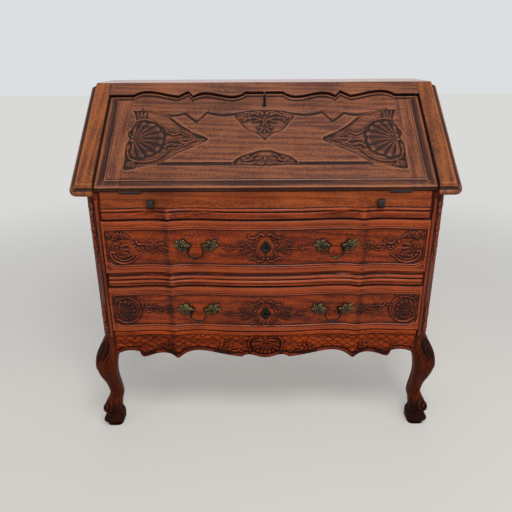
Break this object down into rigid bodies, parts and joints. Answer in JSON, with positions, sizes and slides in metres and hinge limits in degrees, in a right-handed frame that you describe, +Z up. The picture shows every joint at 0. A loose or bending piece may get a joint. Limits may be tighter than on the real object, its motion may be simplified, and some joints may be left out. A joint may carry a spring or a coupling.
{
  "type": "secretary chest",
  "caption": "Slant-front writing chest of carved oak with a fall flap, pull-out lopers, wavy long drawers with bail handles, a shaped apron and cabriole legs.",
  "frame": {"origin": "on the floor, under the middle of the chest's bounding box", "axes": "+Z up, the front faces -Y, +X to the right of someone facing the chest"},
  "size_m": [1.048, 0.514, 1.0205],
  "materials": {
    "oak_flap": "waxed oak, brown, satin",
    "oak_case": "waxed oak, red-brown, satin",
    "oak_front": "polished oak, orange-brown",
    "oak_dark": "polished carved oak, dark red-brown",
    "oak_inside": "plain oak, unpolished",
    "brass_old": "cast brass, darkened by age",
    "iron_dark": "forged iron, dark"
  },
  "bodies": {
    "carcase": {"front_leg_left": "oak_dark", "front_leg_right": "oak_dark", "rear_leg_left": "oak_dark", "rear_leg_right": "oak_dark", "side_panel_left": "oak_case", "side_panel_right": "oak_case", "side_rails_left": "oak_case", "side_rails_right": "oak_case", "back_board": "oak_inside", "bottom_board": "oak_inside", "front_apron": "oak_dark", "drawer_divider": "oak_front", "frieze_rail": "oak_front", "drawer_runners": "oak_inside", "loper_guides": "oak_inside", "writing_board": "oak_case", "slope_cheek_left": "oak_case", "slope_cheek_right": "oak_case", "slope_strip_left": "oak_case", "slope_strip_right": "oak_case", "top_board": "oak_case", "top_rail": "oak_case", "pigeonhole_case": "oak_inside", "strike_plate": "brass_old", "hinge_board_leaves": "brass_old", "hinge_pins": "brass_old"},
    "flap": {"flap_bottom_rail": "oak_flap", "flap_top_rail": "oak_flap", "flap_stiles": "oak_flap", "flap_panel": "oak_flap", "hinge_flap_leaves": "brass_old", "flap_lock_case": "iron_dark", "flap_keyhole_plate": "brass_old"},
    "flap_bolt": {"flap_lock_bolt": "iron_dark"},
    "flap_key": {"flap_key": "iron_dark"},
    "loper_left": {"loper_left": "oak_front", "loper_knob_left": "iron_dark"},
    "loper_right": {"loper_right": "oak_front", "loper_knob_right": "iron_dark"},
    "small_drawer_left": {"small_drawer_left": "oak_inside"},
    "small_drawer_right": {"small_drawer_right": "oak_inside"},
    "upper_drawer": {"upper_drawer_front": "oak_front", "upper_drawer_box": "oak_inside", "upper_drawer_bottom": "oak_inside", "upper_drawer_rosettes": "brass_old", "upper_drawer_keyhole_plate": "brass_old", "upper_drawer_lock": "iron_dark"},
    "upper_drawer_bolt": {"upper_drawer_bolt": "iron_dark"},
    "upper_drawer_bail_left": {"upper_drawer_bail_left": "brass_old"},
    "upper_drawer_bail_right": {"upper_drawer_bail_right": "brass_old"},
    "lower_drawer": {"lower_drawer_front": "oak_front", "lower_drawer_box": "oak_inside", "lower_drawer_bottom": "oak_inside", "lower_drawer_rosettes": "brass_old", "lower_drawer_keyhole_plate": "brass_old", "lower_drawer_lock": "iron_dark"},
    "lower_drawer_bolt": {"lower_drawer_bolt": "iron_dark"},
    "lower_drawer_bail_left": {"lower_drawer_bail_left": "brass_old"},
    "lower_drawer_bail_right": {"lower_drawer_bail_right": "brass_old"}
  },
  "joints": [
    {"name": "flap_hinge", "type": "hinge", "parent": "carcase", "child": "flap", "pos_m": [0, -0.231, 0.756], "axis": [1, 0, 0], "range_deg": [0, 142]},
    {"name": "flap_key_turn", "type": "hinge", "parent": "flap", "child": "flap_key", "pos_m": [0, -0.00345, 0.95853], "axis": [0, 0.6157, -0.788], "range_deg": [0, 90]},
    {"name": "flap_bolt_slide", "type": "slide", "parent": "flap", "child": "flap_bolt", "axis": [0, 0.788, 0.6157], "range_m": [0, 0.008]},
    {"name": "loper_left_slide", "type": "slide", "parent": "carcase", "child": "loper_left", "axis": [0, -1, 0], "range_m": [0, 0.24]},
    {"name": "small_drawer_left_slide", "type": "slide", "parent": "carcase", "child": "small_drawer_left", "axis": [0, -1, 0], "range_m": [0, 0.15]},
    {"name": "loper_right_slide", "type": "slide", "parent": "carcase", "child": "loper_right", "axis": [0, -1, 0], "range_m": [0, 0.24]},
    {"name": "small_drawer_right_slide", "type": "slide", "parent": "carcase", "child": "small_drawer_right", "axis": [0, -1, 0], "range_m": [0, 0.15]},
    {"name": "upper_drawer_slide", "type": "slide", "parent": "carcase", "child": "upper_drawer", "axis": [0, -1, 0], "range_m": [0, 0.34]},
    {"name": "upper_drawer_bolt_slide", "type": "slide", "parent": "upper_drawer", "child": "upper_drawer_bolt", "axis": [0, 0, 1], "range_m": [0, 0.008]},
    {"name": "upper_drawer_bail_left_swing", "type": "hinge", "parent": "upper_drawer", "child": "upper_drawer_bail_left", "pos_m": [-0.195, -0.248, 0.606], "axis": [-1, 0, 0], "range_deg": [0, 85]},
    {"name": "upper_drawer_bail_right_swing", "type": "hinge", "parent": "upper_drawer", "child": "upper_drawer_bail_right", "pos_m": [0.195, -0.248, 0.606], "axis": [-1, 0, 0], "range_deg": [0, 85]},
    {"name": "lower_drawer_slide", "type": "slide", "parent": "carcase", "child": "lower_drawer", "axis": [0, -1, 0], "range_m": [0, 0.34]},
    {"name": "lower_drawer_bolt_slide", "type": "slide", "parent": "lower_drawer", "child": "lower_drawer_bolt", "axis": [0, 0, 1], "range_m": [0, 0.008]},
    {"name": "lower_drawer_bail_left_swing", "type": "hinge", "parent": "lower_drawer", "child": "lower_drawer_bail_left", "pos_m": [-0.195, -0.248, 0.408], "axis": [-1, 0, 0], "range_deg": [0, 85]},
    {"name": "lower_drawer_bail_right_swing", "type": "hinge", "parent": "lower_drawer", "child": "lower_drawer_bail_right", "pos_m": [0.195, -0.248, 0.408], "axis": [-1, 0, 0], "range_deg": [0, 85]}
  ],
  "couplings": [
    {"joint": "flap_key_turn", "follows": "flap_bolt_slide", "rad_per_m": 196.35}
  ]
}
